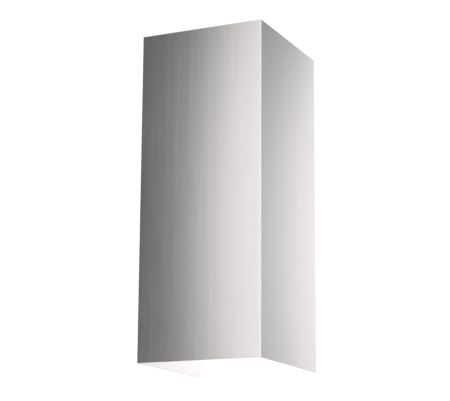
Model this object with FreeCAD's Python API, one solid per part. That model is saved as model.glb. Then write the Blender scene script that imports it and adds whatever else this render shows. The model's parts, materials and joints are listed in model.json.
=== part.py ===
"""Chimney section of a wall-mounted cooker hood, made of one stainless steel sheet folded four times.

The front and the two sides hide the duct. Along the wall the sheet turns inwards on both sides, and
these two returns stop short of the section's ends, so that the hood's collar and the next section can
slip inside. Past the returns the sides run straight to the wall, and a narrow slot at each end of a
return lets it fold without tearing the side. Each return has a screw hole near either end.

Millimetres, +Z up. The front faces -Y and the returns lie against the wall at +Y. The origin is the
middle of the footprint, on the bottom edge.
"""
import FreeCAD, Part
import os

# Overall size, outside
WIDTH = 260.0
DEPTH = 280.0
HEIGHT = 660.0

# Sheet and folds
SHEET = 0.8
FOLD_INSIDE_RADIUS = 1.0

# Returns along the wall
RETURN_WIDTH = 20.0
RETURN_END_GAP = 45.0
RETURN_CORNER_RADIUS = 4.0

# Relief slots at the ends of the returns
RELIEF_WIDTH = 2.0
RELIEF_PAST_FOLD = 0.6

# Screw holes in the returns
SCREW_HOLE_DIAMETER = 4.5
SCREW_HOLE_TO_RETURN_END = 28.0

# Worked out from the sizes above
FOLD_OUTSIDE_RADIUS = FOLD_INSIDE_RADIUS + SHEET
FRONT_Y = -DEPTH / 2
WALL_Y = DEPTH / 2
SIDE_X = WIDTH / 2
RETURN_EDGE_X = SIDE_X - RETURN_WIDTH
RETURN_ENDS = (RETURN_END_GAP, HEIGHT - RETURN_END_GAP)

UP = FreeCAD.Vector(0, 0, 1)
TO_WALL = FreeCAD.Vector(0, 1, 0)


def folded_line(corners, radius):
    """Open line through the corners, with an arc of this radius at every right-angled fold."""
    edges = []
    start = corners[0]
    for before, corner, after in zip(corners, corners[1:], corners[2:]):
        back = (before - corner).normalize()
        onward = (after - corner).normalize()
        inwards = (back + onward).normalize()
        fold_centre = corner + (back + onward) * radius
        fold_start = corner + back * radius
        fold_end = corner + onward * radius
        edges.append(Part.LineSegment(start, fold_start).toShape())
        edges.append(Part.Arc(fold_start, fold_centre - inwards * radius, fold_end).toShape())
        start = fold_end
    edges.append(Part.LineSegment(start, corners[-1]).toShape())
    return edges


def straight_corners(inset):
    """Corners of one face of the sheet in plan, where the sides run straight to the wall."""
    side = SIDE_X - inset
    front = FRONT_Y + inset
    return [
        FreeCAD.Vector(-side, WALL_Y, 0),
        FreeCAD.Vector(-side, front, 0),
        FreeCAD.Vector(side, front, 0),
        FreeCAD.Vector(side, WALL_Y, 0),
    ]


def returned_corners(inset):
    """Corners of one face of the sheet in plan, where the sides turn inwards along the wall."""
    side = SIDE_X - inset
    front = FRONT_Y + inset
    wall = WALL_Y - inset
    return [
        FreeCAD.Vector(-RETURN_EDGE_X, wall, 0),
        FreeCAD.Vector(-side, wall, 0),
        FreeCAD.Vector(-side, front, 0),
        FreeCAD.Vector(side, front, 0),
        FreeCAD.Vector(side, wall, 0),
        FreeCAD.Vector(RETURN_EDGE_X, wall, 0),
    ]


def sheet_slice(corners_at, bottom, top):
    """The sheet between two heights, from the corners of its outer and inner face in plan."""
    outside = corners_at(0)
    inside = corners_at(SHEET)
    edges = folded_line(outside, FOLD_OUTSIDE_RADIUS) + folded_line(inside, FOLD_INSIDE_RADIUS)
    for end in (0, -1):
        edges.append(Part.LineSegment(outside[end], inside[end]).toShape())
    outline = Part.Wire(Part.__sortEdges__(edges))
    return Part.Face(outline).extrude(UP * (top - bottom)).translated(UP * bottom)


def folded_sheet():
    """The whole sheet, straight-sided at both ends, with the returns between them."""
    return_bottom, return_top = RETURN_ENDS
    bottom_end = sheet_slice(straight_corners, 0, return_bottom)
    middle = sheet_slice(returned_corners, return_bottom, return_top)
    top_end = sheet_slice(straight_corners, return_top, HEIGHT)
    return middle.fuse([bottom_end, top_end]).removeSplitter()


def relief_cuts():
    """Slots just beyond both ends of the returns, a little deeper than the folds."""
    depth = FOLD_OUTSIDE_RADIUS + RELIEF_PAST_FOLD
    return_bottom, return_top = RETURN_ENDS
    return [
        Part.makeBox(WIDTH, depth, RELIEF_WIDTH, FreeCAD.Vector(-SIDE_X, WALL_Y - depth, slot_bottom))
        for slot_bottom in (return_bottom - RELIEF_WIDTH, return_top)
    ]


def round_return_corners(sheet):
    """Round the two free corners of each return."""
    def is_corner(edge):
        middle = edge.CenterOfMass
        on_free_edge = abs(abs(middle.x) - RETURN_EDGE_X) < SHEET / 10
        on_return_end = min(abs(middle.z - end) for end in RETURN_ENDS) < SHEET / 10
        return on_free_edge and on_return_end and abs(edge.tangentAt(edge.FirstParameter).y) > 0.5

    return sheet.makeFillet(RETURN_CORNER_RADIUS, [edge for edge in sheet.Edges if is_corner(edge)])


def screw_hole_cuts():
    """Drills through the middle of each return's flat, near both of its ends."""
    hole_x = (SIDE_X - FOLD_OUTSIDE_RADIUS + RETURN_EDGE_X) / 2
    bottom_end, top_end = RETURN_ENDS
    heights = (bottom_end + SCREW_HOLE_TO_RETURN_END, top_end - SCREW_HOLE_TO_RETURN_END)
    start_y = WALL_Y - FOLD_OUTSIDE_RADIUS
    return [
        Part.makeCylinder(
            SCREW_HOLE_DIAMETER / 2, 2 * FOLD_OUTSIDE_RADIUS,
            FreeCAD.Vector(x, start_y, z), TO_WALL,
        )
        for x in (-hole_x, hole_x)
        for z in heights
    ]


def chimney_shell():
    """The finished section."""
    sheet = folded_sheet().cut(relief_cuts())
    sheet = round_return_corners(sheet)
    return sheet.cut(screw_hole_cuts())


os.makedirs("parts", exist_ok=True)
chimney_shell().exportStep("parts/chimney_shell.step")
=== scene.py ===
import json
import math

import bmesh
import bpy
from mathutils import Matrix, Vector


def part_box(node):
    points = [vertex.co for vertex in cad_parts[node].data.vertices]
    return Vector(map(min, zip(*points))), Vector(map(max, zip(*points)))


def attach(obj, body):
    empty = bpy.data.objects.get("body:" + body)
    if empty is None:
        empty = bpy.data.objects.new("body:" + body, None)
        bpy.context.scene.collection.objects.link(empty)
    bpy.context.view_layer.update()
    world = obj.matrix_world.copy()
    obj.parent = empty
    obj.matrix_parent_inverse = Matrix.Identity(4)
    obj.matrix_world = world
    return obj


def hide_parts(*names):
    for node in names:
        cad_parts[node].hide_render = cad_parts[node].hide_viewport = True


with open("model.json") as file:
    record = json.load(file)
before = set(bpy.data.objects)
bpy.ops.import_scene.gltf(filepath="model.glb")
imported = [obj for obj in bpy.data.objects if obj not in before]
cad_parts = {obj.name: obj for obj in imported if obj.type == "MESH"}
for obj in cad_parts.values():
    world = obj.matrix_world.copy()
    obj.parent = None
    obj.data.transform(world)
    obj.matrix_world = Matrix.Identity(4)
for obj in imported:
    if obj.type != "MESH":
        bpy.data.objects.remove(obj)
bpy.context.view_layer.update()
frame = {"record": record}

# Sizes of the folded sheet, in metres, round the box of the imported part
NODE = "chimney_shell"
LOW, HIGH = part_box(NODE)
FRONT_Y = LOW.y
WALL_Y = HIGH.y
SIDE_X = HIGH.x
TOP_Z = HIGH.z

SHEET = 0.0008
FOLD_RADIUS = 0.0018
FOLD_SEGMENTS = 10
EDGE_BREAK = 0.00012
EDGE_BREAK_SEGMENTS = 2
SHARP_EDGE = math.radians(60)
FLAT_PANEL_WEIGHT = 100

# Returns along the wall
RETURN_WIDTH = 0.020
RETURN_EDGE_X = SIDE_X - RETURN_WIDTH
RETURN_END_GAP = 0.045
RETURN_ENDS = (RETURN_END_GAP, TOP_Z - RETURN_END_GAP)
RETURN_CORNER_RADIUS = 0.004
RETURN_CORNER_SEGMENTS = 6
FACING_WALL = 0.999

# Relief slots at the ends of the returns
RELIEF_WIDTH = 0.002
RELIEF_PAST_FOLD = 0.0006
RELIEF_Y = WALL_Y - FOLD_RADIUS - RELIEF_PAST_FOLD
RELIEF_ENDS = (RETURN_ENDS[0] - RELIEF_WIDTH, RETURN_ENDS[1] + RELIEF_WIDTH)

# Screw holes, from the part's own mount
SCREWS = next(mount for mount in frame["record"]["mounts"] if mount["name"] == "wall_screws")
HOLE_RADIUS = SCREWS["dims"]["hole_r_mm"] / 1000
HOLE_OUT_X = SCREWS["dims"]["spacing_x_mm"] / 2000
HOLE_OUT_Z = SCREWS["dims"]["spacing_y_mm"] / 2000
HOLE_MIDDLE_Z = SCREWS["pos_m"][2]
HOLE_SIDE_CUTS = 7
HOLE_MARGIN = 0.0015

NEARLY = 1e-5

# Patterns, as their scale along X, Y and Z
BRUSHED_GRAIN = (1500.0, 1500.0, 8.0)
BRUSHED_STREAKS = (65.0, 65.0, 0.9)
BRUSHED_CLOUDS = (6.0, 6.0, 4.0)
ROLLED_GRAIN = (900.0, 900.0, 3.0)
ROLLED_CLOUDS = (5.0, 5.0, 3.0)
TORN_GRAIN = (900.0, 900.0, 900.0)
FLOOR_MOTTLE = (3.0, 3.0, 3.0)

# Colours that each finish varies between
BRUSHED_DARK = (0.604, 0.606, 0.606)
BRUSHED_LIGHT = (0.772, 0.772, 0.770)
BURNISHED_FOLD = (0.83, 0.83, 0.825)
ROLLED_DARK = (0.69, 0.69, 0.69)
ROLLED_LIGHT = (0.77, 0.77, 0.765)
TORN_DARK = (0.56, 0.555, 0.55)
TORN_LIGHT = (0.74, 0.735, 0.73)
FLOOR_DARK = (0.85, 0.85, 0.85)
FLOOR_LIGHT = (0.88, 0.88, 0.875)

# Roughness of each finish, and how much smoother the burnished folds are
BRUSHED_ROUGHNESS = 0.25
BURNISHED_SMOOTHER = 0.08
ROLLED_ROUGHNESS = 0.28
TORN_ROUGHNESS = 0.30
FLOOR_ROUGHNESS = 0.7

# Camera, set so that the six visible corners fall within about 2.5 pixels of the photograph's
CAMERA_PLACE = Vector((1.2164, -2.6242, -0.3307))
CAMERA_TURN_LEFT = math.radians(25.06)
CAMERA_TILT_UP = math.radians(13.03)
CAMERA_ROLL = math.radians(0.37)
CAMERA_LENS_MM = 117.5
CAMERA_SENSOR_MM = 36.0

# Studio light, where a glow of 1 is as bright as white paper
BACKGROUND_GLOW = 1.05
ROOM_GLOW = 0.35
BRIGHT_GLOW = 1.2
DARK_GLOW = 0.07
CARD_COLOUR = (1.0, 0.962, 0.957)
OVERHEAD_GLOW = 2.4
OVERHEAD_SIZE = 3.0
OVERHEAD_HEIGHT = 2.4

# The floor fades out between these distances from the section
FLOOR_SOLID = 0.9
FLOOR_GONE = 3.0


class Value:
    """A shader socket that takes part in Python sums. Each operator adds one Math node."""

    def __init__(self, finish, socket):
        self.finish = finish
        self.socket = socket

    def math(self, operation, first, second):
        return self.finish.add("ShaderNodeMath", {"operation": operation}, {0: first, 1: second})

    def __add__(self, other):
        return self.math("ADD", self, other)

    def __radd__(self, other):
        return self.math("ADD", other, self)

    def __sub__(self, other):
        return self.math("SUBTRACT", self, other)

    def __rsub__(self, other):
        return self.math("SUBTRACT", other, self)

    def __mul__(self, other):
        return self.math("MULTIPLY", self, other)

    def __rmul__(self, other):
        return self.math("MULTIPLY", other, self)

    def __abs__(self):
        return self.math("ABSOLUTE", self, 0.0)


class Finish:
    """Adds nodes to one node tree, of a material or of the world."""

    def __init__(self, owner):
        owner.use_nodes = True
        self.tree = owner.node_tree
        self.tree.nodes.clear()

    def add(self, kind, settings=None, sockets=None, output=0):
        """Add a node: its settings are set first, then its sockets get their values or links."""
        node = self.tree.nodes.new(kind)
        for name, setting in (settings or {}).items():
            setattr(node, name, setting)
        for name, given in (sockets or {}).items():
            if isinstance(given, Value):
                self.tree.links.new(given.socket, node.inputs[name])
            else:
                node.inputs[name].default_value = given
        return Value(self, node.outputs[output]) if node.outputs else node

    def noise(self, place, scale, detail, rough=0.5):
        """Noise from 0 to 1 round 0.5, with its own scale along X, Y and Z."""
        spread = self.add("ShaderNodeMapping", sockets={"Vector": place, "Scale": scale})
        sockets = {"Vector": spread, "Scale": 1.0, "Detail": detail, "Roughness": rough}
        return self.add("ShaderNodeTexNoise", sockets=sockets)

    def mix(self, share, first, second):
        """A colour between two colours."""
        colours = [given if isinstance(given, Value) else (*given, 1.0) for given in (first, second)]
        sockets = {0: share, 6: colours[0], 7: colours[1]}
        return self.add("ShaderNodeMix", {"data_type": "RGBA"}, sockets, output=2)

    def ramp(self, given, start, end):
        """Rise smoothly from 0 to 1 while the given value goes from the start to the end."""
        sockets = {"Value": given, "From Min": start, "From Max": end}
        return self.add("ShaderNodeMapRange", {"interpolation_type": "SMOOTHSTEP"}, sockets)


def material(name):
    made = bpy.data.materials.new(name)
    return made, Finish(made)


def fold_mask(finish, place):
    """1 on the round folds, where the press has burnished the steel, and 0 on the flat panels."""
    x = finish.add("ShaderNodeSeparateXYZ", sockets={0: place}, output="X")
    y = finish.add("ShaderNodeSeparateXYZ", sockets={0: place}, output="Y")
    past_side = abs(x) - (SIDE_X - FOLD_RADIUS)
    past_front_or_wall = abs(y) - (WALL_Y - FOLD_RADIUS)
    into_fold = finish.add(
        "ShaderNodeMath",
        {"operation": "MINIMUM"},
        {0: past_side, 1: past_front_or_wall},
    )
    return finish.ramp(into_fold, 0.0, FOLD_RADIUS / 3)


def brushed_stainless():
    """The outside: a satin brushed face whose grain runs up the section."""
    made, finish = material("brushed_stainless")
    place = finish.add("ShaderNodeTexCoord", output="Object")
    grain = finish.noise(place, BRUSHED_GRAIN, 2.0) - 0.5
    streaks = finish.noise(place, BRUSHED_STREAKS, 5.0, 0.95) - 0.5
    clouds = finish.noise(place, BRUSHED_CLOUDS, 3.0) - 0.5
    tone = 0.5 + grain * 0.4 + streaks * 0.9
    roughness = BRUSHED_ROUGHNESS + streaks * 0.05 + grain * 0.06 + clouds * 0.05
    fold = fold_mask(finish, place)
    brushed = finish.mix(tone, BRUSHED_DARK, BRUSHED_LIGHT)
    bump = finish.add(
        "ShaderNodeBump",
        sockets={"Strength": 0.15, "Distance": 0.0001, "Height": grain},
    )
    shader = finish.add(
        "ShaderNodeBsdfPrincipled",
        sockets={
            "Base Color": finish.mix(fold, brushed, BURNISHED_FOLD),
            "Metallic": 1.0,
            "Roughness": roughness - fold * BURNISHED_SMOOTHER,
            "Anisotropic": 0.5,
            "Normal": bump,
        },
    )
    finish.add("ShaderNodeOutputMaterial", sockets={"Surface": shader})
    return made


def mill_finish():
    """The inside: the dull face of the sheet as it left the rolling mill."""
    made, finish = material("mill_finish")
    place = finish.add("ShaderNodeTexCoord", output="Object")
    rolling = finish.noise(place, ROLLED_GRAIN, 1.0) - 0.5
    clouds = finish.noise(place, ROLLED_CLOUDS, 2.0) - 0.5
    tone = 0.5 + rolling * 0.5 + clouds * 0.5
    shader = finish.add(
        "ShaderNodeBsdfPrincipled",
        sockets={
            "Base Color": finish.mix(tone, ROLLED_DARK, ROLLED_LIGHT),
            "Metallic": 1.0,
            "Roughness": ROLLED_ROUGHNESS + rolling * 0.03 + clouds * 0.04,
        },
    )
    finish.add("ShaderNodeOutputMaterial", sockets={"Surface": shader})
    return made


def sheared_edge():
    """The cut edges of the sheet, torn to a duller and uneven face by the blade."""
    made, finish = material("sheared_edge")
    place = finish.add("ShaderNodeTexCoord", output="Object")
    tear = finish.noise(place, TORN_GRAIN, 3.0)
    shader = finish.add(
        "ShaderNodeBsdfPrincipled",
        sockets={
            "Base Color": finish.mix(tear, TORN_DARK, TORN_LIGHT),
            "Metallic": 1.0,
            "Roughness": TORN_ROUGHNESS + tear * 0.25,
        },
    )
    finish.add("ShaderNodeOutputMaterial", sockets={"Surface": shader})
    return made


def cut(bm, faces, axis, at):
    """Cut these faces along the plane that crosses the axis at this place."""
    edges = {edge for face in faces for edge in face.edges}
    verts = {vert for face in faces for vert in face.verts}
    direction = Vector((axis == "x", axis == "y", axis == "z"))
    bmesh.ops.bisect_plane(
        bm,
        geom=[*faces, *edges, *verts],
        plane_co=direction * at,
        plane_no=direction,
    )


def between(height, ends):
    return ends[0] < height < ends[1]


def return_faces(bm):
    return [face for face in bm.faces if face.normal.y > FACING_WALL]


def face_at(bm, place):
    return min(bm.faces, key=lambda face: (face.calc_center_median() - place).length)


def fold_panels():
    """The sheet's outer face: five flat panels joined by round folds."""
    bm = bmesh.new()
    plan = [
        (-RETURN_EDGE_X, WALL_Y),
        (-SIDE_X, WALL_Y),
        (-SIDE_X, FRONT_Y),
        (SIDE_X, FRONT_Y),
        (SIDE_X, WALL_Y),
        (RETURN_EDGE_X, WALL_Y),
    ]
    corners = [bm.verts.new((x, y, 0)) for x, y in plan]
    line = [bm.edges.new(pair) for pair in zip(corners, corners[1:])]
    raised = bmesh.ops.extrude_edge_only(bm, edges=line)["geom"]
    upper = [part for part in raised if isinstance(part, bmesh.types.BMVert)]
    bmesh.ops.translate(bm, verts=upper, vec=(0, 0, TOP_Z))
    bmesh.ops.recalc_face_normals(bm, faces=bm.faces[:])
    bmesh.ops.bevel(
        bm,
        geom=[edge for edge in bm.edges if len(edge.link_faces) == 2],
        offset=FOLD_RADIUS,
        segments=FOLD_SEGMENTS,
        profile=0.5,
        affect="EDGES",
        material=-1,
    )
    return bm


def shorten_returns(bm):
    """Cut the returns back from the section's ends, where the sides then run straight to the wall."""
    for height in (*RETURN_ENDS, *RELIEF_ENDS):
        cut(bm, bm.faces[:], "z", height)
    cut(bm, bm.faces[:], "y", RELIEF_Y)
    waste = []
    for face in bm.faces:
        middle = face.calc_center_median()
        if middle.y > RELIEF_Y and not between(middle.z, RETURN_ENDS):
            waste.append(face)
    bmesh.ops.delete(bm, geom=waste, context="FACES")

    wall_edges = []
    for edge in bm.edges:
        start, end = (vert.co for vert in edge.verts)
        on_cut = abs(start.y - RELIEF_Y) < NEARLY and abs(end.y - RELIEF_Y) < NEARLY
        if on_cut and not between((start.z + end.z) / 2, RELIEF_ENDS):
            wall_edges.append(edge)
    straight = bmesh.ops.extrude_edge_only(bm, edges=wall_edges)["geom"]
    moved = [part for part in straight if isinstance(part, bmesh.types.BMVert)]
    bmesh.ops.translate(bm, verts=moved, vec=(0, WALL_Y - RELIEF_Y, 0))


def round_return_corners(bm):
    corners = [
        vert for vert in bm.verts
        if abs(abs(vert.co.x) - RETURN_EDGE_X) < NEARLY
        and min(abs(vert.co.z - end) for end in RETURN_ENDS) < NEARLY
    ]
    bmesh.ops.bevel(
        bm,
        geom=corners,
        offset=RETURN_CORNER_RADIUS,
        segments=RETURN_CORNER_SEGMENTS,
        profile=0.5,
        affect="VERTICES",
        material=-1,
    )


def drill_screw_holes(bm):
    """Mark out a square round each hole on the returns, round its inside and take the disc out."""
    half = HOLE_RADIUS + HOLE_MARGIN
    across = [side * HOLE_OUT_X for side in (-1, 1)]
    heights = [HOLE_MIDDLE_Z + end * HOLE_OUT_Z for end in (-1, 1)]
    for axis, middles in (("x", across), ("z", heights)):
        for middle in middles:
            cut(bm, return_faces(bm), axis, middle - half)
            cut(bm, return_faces(bm), axis, middle + half)
    for x in across:
        for z in heights:
            centre = Vector((x, WALL_Y, z))
            disc = face_at(bm, centre)
            bmesh.ops.subdivide_edges(bm, edges=disc.edges[:], cuts=HOLE_SIDE_CUTS)
            disc = face_at(bm, centre)
            bmesh.ops.inset_individual(bm, faces=[disc], thickness=HOLE_MARGIN / 2)
            spoke = (disc.verts[0].co - centre).normalized() * HOLE_RADIUS
            for index, vert in enumerate(disc.verts):
                turn = Matrix.Rotation(math.tau * index / len(disc.verts), 3, disc.normal)
                vert.co = centre + turn @ spoke
            bmesh.ops.delete(bm, geom=[disc], context="FACES")


def chimney_sheet():
    """The whole section: folded, cut and drilled as a bare surface, then given its thickness."""
    bm = fold_panels()
    shorten_returns(bm)
    round_return_corners(bm)
    drill_screw_holes(bm)
    mesh = bpy.data.meshes.new("chimney_sheet")
    bm.to_mesh(mesh)
    bm.free()
    mesh.shade_smooth()
    for finish in (brushed_stainless(), mill_finish(), sheared_edge()):
        mesh.materials.append(finish)
    sheet = bpy.data.objects.new("chimney_sheet", mesh)
    bpy.context.scene.collection.objects.link(sheet)

    wall = sheet.modifiers.new("sheet_thickness", "SOLIDIFY")
    wall.thickness = SHEET
    wall.offset = -1
    wall.use_even_offset = True
    wall.material_offset = 1
    wall.material_offset_rim = 2
    rims = sheet.modifiers.new("edge_break", "BEVEL")
    rims.width = EDGE_BREAK
    rims.segments = EDGE_BREAK_SEGMENTS
    rims.limit_method = "ANGLE"
    rims.angle_limit = SHARP_EDGE
    flats = sheet.modifiers.new("flat_panels", "WEIGHTED_NORMAL")
    flats.weight = FLAT_PANEL_WEIGHT
    return sheet


def stage_piece(name, bm, made):
    """Put a finished bmesh in the scene as a piece of the studio, with its material."""
    mesh = bpy.data.meshes.new(name)
    bm.to_mesh(mesh)
    bm.free()
    mesh.materials.append(made)
    piece = bpy.data.objects.new(name, mesh)
    bpy.context.scene.collection.objects.link(piece)
    return piece


def pale_floor():
    """A pale floor that only shows from above, because the photograph looks up from below it."""
    made, finish = material("pale_floor")
    place = finish.add("ShaderNodeTexCoord", output="Object")
    mottle = finish.noise(place, FLOOR_MOTTLE, 3.0)
    plaster = finish.add(
        "ShaderNodeBsdfPrincipled",
        sockets={
            "Base Color": finish.mix(mottle, FLOOR_DARK, FLOOR_LIGHT),
            "Roughness": FLOOR_ROUGHNESS,
            "Specular IOR Level": 0.0,
        },
    )
    distance = finish.add("ShaderNodeVectorMath", {"operation": "LENGTH"}, {0: place}, output="Value")
    solid = finish.ramp(distance, FLOOR_GONE, FLOOR_SOLID)
    from_below = finish.add("ShaderNodeNewGeometry", output="Backfacing")
    clear = finish.add("ShaderNodeBsdfTransparent")
    shown = solid * (1 - from_below)
    surface = finish.add("ShaderNodeMixShader", sockets={0: shown, 1: clear, 2: plaster})
    finish.add("ShaderNodeOutputMaterial", sockets={"Surface": surface})
    bm = bmesh.new()
    bmesh.ops.create_grid(bm, x_segments=1, y_segments=1, size=FLOOR_GONE)
    stage_piece("floor", bm, made)


def soft_card(name, middle, size, glow, hot_height, core):
    """A glowing card that stands on the floor, faces the section and only shows in the steel.

    It is even within the core and then clears in an arch towards its edges. The core is a share of
    the way from the hottest place to the edge.
    """
    x, y = middle
    width, height = size
    made, finish = material(name)
    place = finish.add("ShaderNodeTexCoord", output="Object")
    from_hot = finish.add(
        "ShaderNodeMapping",
        {"vector_type": "TEXTURE"},
        {
            "Vector": place,
            "Location": (x, y, hot_height),
            "Scale": (width / 2, 1.0, height - hot_height),
        },
    )
    distance = finish.add("ShaderNodeVectorMath", {"operation": "LENGTH"}, {0: from_hot}, output="Value")
    shown = finish.ramp(distance, 1.0, core)
    light = finish.add("ShaderNodeEmission", sockets={"Color": (*CARD_COLOUR, 1.0), "Strength": glow})
    clear = finish.add("ShaderNodeBsdfTransparent")
    surface = finish.add("ShaderNodeMixShader", sockets={0: shown, 1: clear, 2: light})
    finish.add("ShaderNodeOutputMaterial", sockets={"Surface": surface})
    bm = bmesh.new()
    bmesh.ops.create_grid(bm, x_segments=1, y_segments=1, size=0.5)
    bmesh.ops.scale(bm, verts=bm.verts[:], vec=(width, height, 1.0))
    bmesh.ops.rotate(bm, verts=bm.verts[:], matrix=Matrix.Rotation(math.pi / 2, 3, "X"))
    bmesh.ops.translate(bm, verts=bm.verts[:], vec=(x, y, height / 2))
    card = stage_piece(name, bm, made)
    card.visible_camera = False
    card.visible_diffuse = False
    card.visible_shadow = False


def overhead_lamp():
    """A wide soft lamp straight above the section."""
    lamp = bpy.data.lights.new("overhead_lamp", "AREA")
    lamp.shape = "DISK"
    lamp.size = OVERHEAD_SIZE
    disk_area = math.pi * (OVERHEAD_SIZE / 2) ** 2
    lamp.energy = OVERHEAD_GLOW * math.pi * disk_area
    overhead = bpy.data.objects.new("overhead_lamp", lamp)
    bpy.context.scene.collection.objects.link(overhead)
    overhead.location = (0.0, 0.0, OVERHEAD_HEIGHT)
    overhead.visible_camera = False


def towards(degrees_right, degrees_up):
    """The direction that lies this far right of straight out of the front, and this far up."""
    right = math.radians(degrees_right)
    up = math.radians(degrees_up)
    return (math.cos(up) * math.sin(right), -math.cos(up) * math.cos(right), math.sin(up))


def room_patch(finish, glow, middle, level, core_degrees, edge_degrees):
    """Blend the room's glow into a round patch of its own level, full in its core and gone at its edge."""
    direction = finish.add("ShaderNodeTexCoord", output="Generated")
    facing = finish.add(
        "ShaderNodeVectorMath",
        {"operation": "DOT_PRODUCT"},
        {0: direction, 1: middle},
        output="Value",
    )
    edge = math.cos(math.radians(edge_degrees))
    core = math.cos(math.radians(core_degrees))
    return glow + (level - glow) * finish.ramp(facing, edge, core)


def studio_room():
    """A background that the camera sees as white, and the room that lights the section instead."""
    world = bpy.data.worlds.new("studio")
    bpy.context.scene.world = world
    finish = Finish(world)
    glow = room_patch(finish, ROOM_GLOW, towards(65, 10), BRIGHT_GLOW, core_degrees=30, edge_degrees=60)
    glow = room_patch(finish, glow, towards(-60, -20), DARK_GLOW, core_degrees=40, edge_degrees=80)
    room = finish.add("ShaderNodeBackground", sockets={"Color": (1, 1, 1, 1), "Strength": glow})
    white = finish.add(
        "ShaderNodeBackground",
        sockets={"Color": (1, 1, 1, 1), "Strength": BACKGROUND_GLOW},
    )
    seen = finish.add("ShaderNodeLightPath", output="Is Camera Ray")
    surface = finish.add("ShaderNodeMixShader", sockets={0: seen, 1: room, 2: white})
    finish.add("ShaderNodeOutputWorld", sockets={"Surface": surface})


def studio_light():
    """The room, a lamp overhead, and a soft card before and behind the section."""
    studio_room()
    overhead_lamp()
    soft_card(
        "key_card",
        middle=(-0.03, -0.75),
        size=(0.625, 1.40),
        glow=1.39,
        hot_height=0.36,
        core=0.60,
    )
    soft_card(
        "back_card",
        middle=(0.19, 0.75),
        size=(0.66, 1.15),
        glow=1.44,
        hot_height=0.388,
        core=0.84,
    )


def photograph_camera():
    """The camera where the photograph was taken from, below the section's lower edge."""
    lens = bpy.data.cameras.new("photograph_camera")
    lens.sensor_width = CAMERA_SENSOR_MM
    lens.lens = CAMERA_LENS_MM
    camera = bpy.data.objects.new("photograph_camera", lens)
    bpy.context.scene.collection.objects.link(camera)
    camera.matrix_world = (
        Matrix.Translation(CAMERA_PLACE)
        @ Matrix.Rotation(CAMERA_TURN_LEFT, 4, "Z")
        @ Matrix.Rotation(math.pi / 2 + CAMERA_TILT_UP, 4, "X")
        @ Matrix.Rotation(CAMERA_ROLL, 4, "Z")
    )
    bpy.context.scene.camera = camera


sheet = chimney_sheet()
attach(sheet, "root")
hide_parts(NODE)
pale_floor()
studio_light()
photograph_camera()
bpy.context.scene.view_settings.view_transform = "Standard"
